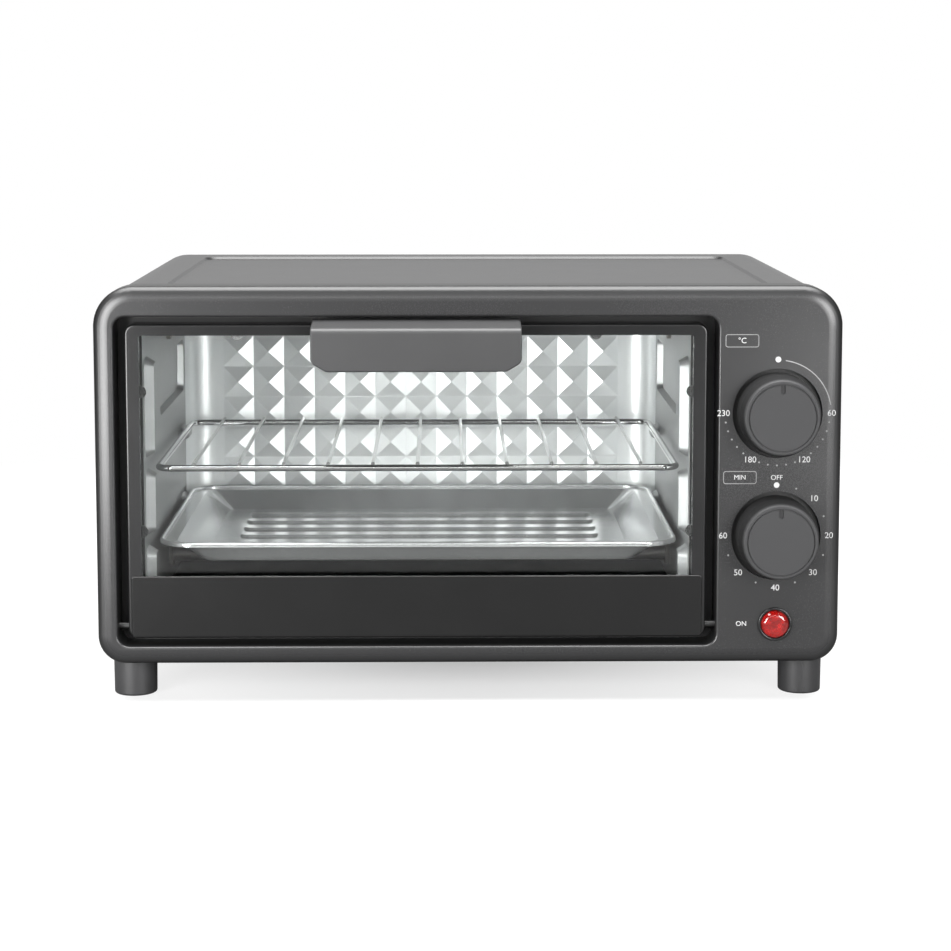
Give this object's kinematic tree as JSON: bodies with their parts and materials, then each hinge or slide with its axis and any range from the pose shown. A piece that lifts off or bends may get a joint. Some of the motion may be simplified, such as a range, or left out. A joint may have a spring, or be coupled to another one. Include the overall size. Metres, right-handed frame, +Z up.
{
  "type": "toaster oven",
  "caption": "Table-top electric oven with a rounded black fascia, drop-down glass door, control dials, lamp, wire rack, baking tray and a bright pyramid-quilted cavity",
  "frame": {"origin": "centre of the bounding box's bottom face, on the floor under the feet", "axes": "+X to the user's right, +Y to the back, -Y out of the door, +Z up"},
  "size_m": [0.37, 0.278, 0.2102],
  "materials": {
    "black_plastic": "satin, moulded",
    "dark_coated_steel": "dark grey satin coat",
    "black_painted_steel": "matte black coat",
    "galvanised_steel": "dull zinc",
    "bright_steel": "bright, reflective",
    "grey_plastic": "matte dark grey",
    "clear_glass": "clear, toughened",
    "chrome_wire": "polished",
    "tray_steel": "grey, satin",
    "heater_tube": "dull sheath",
    "white_ceramic": "unglazed",
    "red_lens": "translucent red",
    "cream_plastic": "moulded",
    "black_rubber": "matte",
    "zinc_steel": "zinc plated"
  },
  "bodies": {
    "oven_body": {"base_panel": "galvanised_steel", "cavity_ceiling": "bright_steel", "cavity_floor": "bright_steel", "cavity_left_wall": "bright_steel", "cavity_right_wall": "bright_steel", "control_screws": "zinc_steel", "cord_gland": "black_rubber", "cover_screws": "zinc_steel", "foot_front_left": "black_rubber", "foot_front_right": "black_rubber", "foot_rear_left": "black_rubber", "foot_rear_right": "black_rubber", "foot_screws": "zinc_steel", "front_fascia": "black_plastic", "front_frame": "black_painted_steel", "heater_bushes": "white_ceramic", "hinge_pin_left": "zinc_steel", "hinge_pin_right": "zinc_steel", "indicator_bezel": "chrome_wire", "indicator_lamp": "clear_glass", "indicator_lens": "red_lens", "lower_heater": "heater_tube", "outer_cover": "dark_coated_steel", "rear_panel": "galvanised_steel", "reflector_back_wall": "bright_steel", "terminal_block": "cream_plastic", "thermostat": "cream_plastic", "timer": "cream_plastic", "timer_bell": "bright_steel", "upper_heater": "heater_tube"},
    "door": {"door_frame": "black_plastic", "door_glass": "clear_glass", "door_apron": "black_plastic", "door_handle": "grey_plastic", "handle_screws": "zinc_steel", "glass_clips": "zinc_steel", "clip_screws": "zinc_steel", "door_stay_left": "zinc_steel", "door_stay_right": "zinc_steel"},
    "temperature_dial": {"temperature_knob": "grey_plastic", "thermostat_shaft": "zinc_steel"},
    "timer_dial": {"timer_knob": "grey_plastic", "timer_shaft": "zinc_steel"},
    "rack": {"wire_rack": "chrome_wire"},
    "tray": {"baking_tray": "tray_steel"}
  },
  "joints": [
    {"name": "door_hinge", "type": "hinge", "parent": "oven_body", "child": "door", "pos_m": [-0.0257, -0.11, 0.039], "axis": [1, 0, 0], "range_deg": [0, 90], "stiffness_Nm_per_rad": 0.15, "springref_deg": -28.65},
    {"name": "temperature_turn", "type": "hinge", "parent": "oven_body", "child": "temperature_dial", "pos_m": [0.1528, -0.119, 0.147], "axis": [0, 1, 0], "range_deg": [0, 270]},
    {"name": "timer_turn", "type": "hinge", "parent": "oven_body", "child": "timer_dial", "pos_m": [0.1528, -0.119, 0.0856], "axis": [0, 1, 0], "range_deg": [0, 270]},
    {"name": "rack_slide", "type": "slide", "parent": "oven_body", "child": "rack", "axis": [0, -1, 0], "range_m": [0, 0.02]},
    {"name": "tray_slide", "type": "slide", "parent": "oven_body", "child": "tray", "axis": [0, -1, 0], "range_m": [0, 0.02]}
  ]
}
